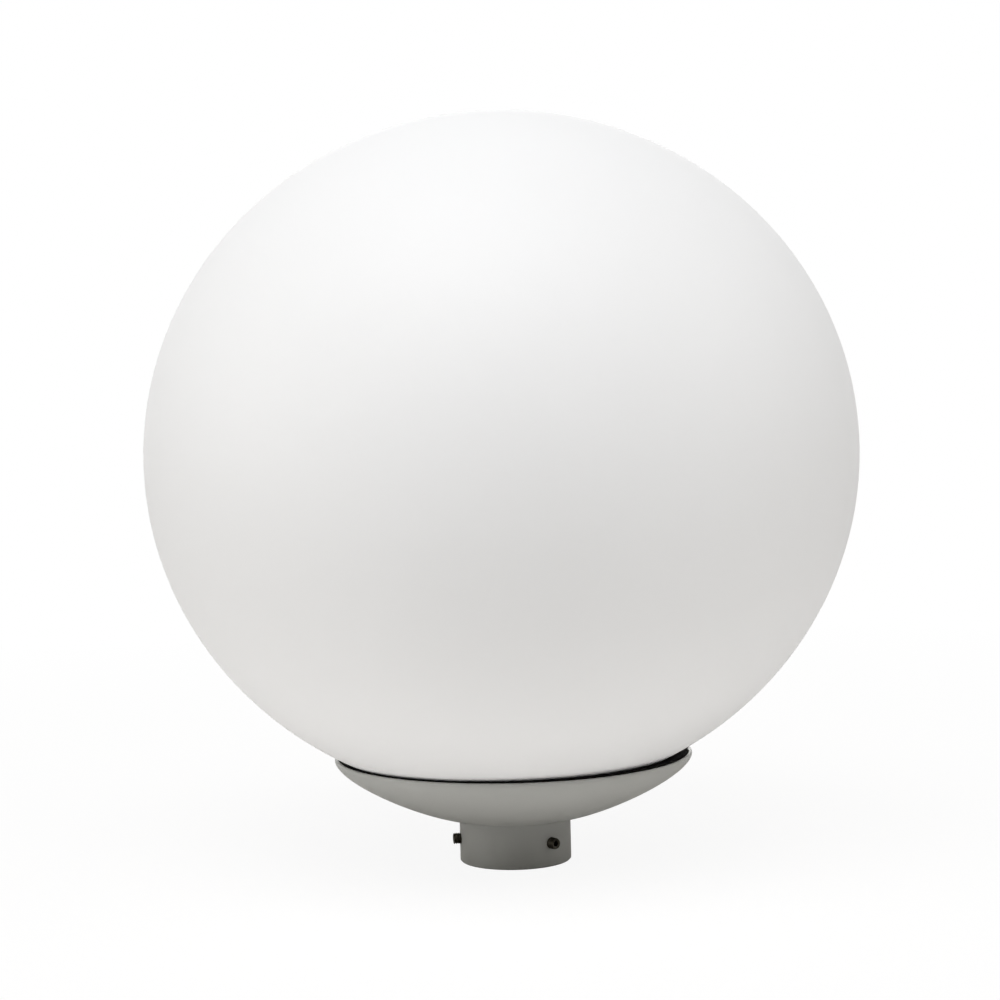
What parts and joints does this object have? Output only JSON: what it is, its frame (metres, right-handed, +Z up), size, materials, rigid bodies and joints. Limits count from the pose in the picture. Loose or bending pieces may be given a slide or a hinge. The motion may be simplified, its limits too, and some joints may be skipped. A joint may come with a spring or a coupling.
{
  "type": "globe street light",
  "caption": "Post-top street light: a large opal globe seated on a cast dish whose neck slips over a pole and is clamped by screws.",
  "frame": {"origin": "centre of the neck's open foot, where the pole enters", "axes": "+Z up the pole's axis towards the globe's crown, -Y the side that was pictured, +X to its right"},
  "size_m": [0.5, 0.5, 0.5289],
  "materials": {
    "grey_paint": "light grey satin paint on cast aluminium",
    "opal": "opal white, satin",
    "black_rubber": "black, matt",
    "dark_screw": "blackened steel",
    "zinc_screw": "bright zinc",
    "zinc_plate": "zinc-coated sheet",
    "cast_aluminium": "as cast",
    "grey_nylon": "moulded",
    "white_nylon": "moulded",
    "porcelain": "white glaze",
    "nickel_shell": "nickel-plated",
    "spring_brass": "bright",
    "frosted_glass": "white coated inside",
    "cap_metal": "rolled",
    "black_glass": "black vitrite",
    "solder": "dull solder",
    "brown_lead": "insulation",
    "blue_lead": "insulation",
    "green_lead": "insulation, green and yellow"
  },
  "bodies": {
    "base": {"base_casting": "grey_paint", "globe_gasket": "black_rubber", "gear_plate": "zinc_plate", "gear_plate_screws": "zinc_screw", "cable_gland_body": "grey_nylon", "cable_gland_seal": "black_rubber", "cable_gland_nut": "grey_nylon", "lampholder_bracket": "zinc_plate", "bracket_screws": "zinc_screw", "lampholder_body": "porcelain", "lampholder_shell": "nickel_shell", "lampholder_contact": "spring_brass", "lampholder_screws": "zinc_screw", "terminal_block": "white_nylon", "terminal_sleeves": "spring_brass", "terminal_screws": "zinc_screw", "terminal_fixing_screws": "zinc_screw", "earth_washer": "spring_brass", "earth_screw": "zinc_screw", "lead_live": "brown_lead", "lead_neutral": "blue_lead", "lead_earth": "green_lead"},
    "globe_unit": {"globe_lower": "opal", "globe_upper": "opal", "throat_seal": "black_rubber", "globe_gallery": "cast_aluminium", "gallery_screws": "dark_screw"},
    "lamp": {"lamp_bulb": "frosted_glass", "lamp_cap": "cap_metal", "lamp_insulator": "black_glass", "lamp_contact": "solder"},
    "clamp_screw_1": {"clamp_screw_1": "dark_screw"},
    "globe_screw_1": {"globe_screw_1": "zinc_screw"},
    "clamp_screw_2": {"clamp_screw_2": "dark_screw"},
    "globe_screw_2": {"globe_screw_2": "zinc_screw"},
    "clamp_screw_3": {"clamp_screw_3": "dark_screw"},
    "globe_screw_3": {"globe_screw_3": "zinc_screw"}
  },
  "joints": [
    {"name": "globe_lift", "type": "slide", "parent": "base", "child": "globe_unit", "axis": [0, 0, 1], "range_m": [0, 0.25]},
    {"name": "lamp_unscrew", "type": "slide", "parent": "base", "child": "lamp", "axis": [0, 0, 1], "range_m": [0, 0.03]},
    {"name": "clamp_screw_1_travel", "type": "slide", "parent": "base", "child": "clamp_screw_1", "axis": [0.6334, -0.7738, 0], "range_m": [-0.0015, 0.004]},
    {"name": "clamp_screw_2_travel", "type": "slide", "parent": "base", "child": "clamp_screw_2", "axis": [0.3535, 0.9354, 0], "range_m": [-0.0015, 0.004]},
    {"name": "clamp_screw_3_travel", "type": "slide", "parent": "base", "child": "clamp_screw_3", "axis": [-0.9869, -0.1616, 0], "range_m": [-0.0015, 0.004]},
    {"name": "globe_screw_1_travel", "type": "slide", "parent": "base", "child": "globe_screw_1", "axis": [0, 0, -1], "range_m": [0, 0.012]},
    {"name": "globe_screw_2_travel", "type": "slide", "parent": "base", "child": "globe_screw_2", "axis": [0, 0, -1], "range_m": [0, 0.012]},
    {"name": "globe_screw_3_travel", "type": "slide", "parent": "base", "child": "globe_screw_3", "axis": [0, 0, -1], "range_m": [0, 0.012]}
  ]
}
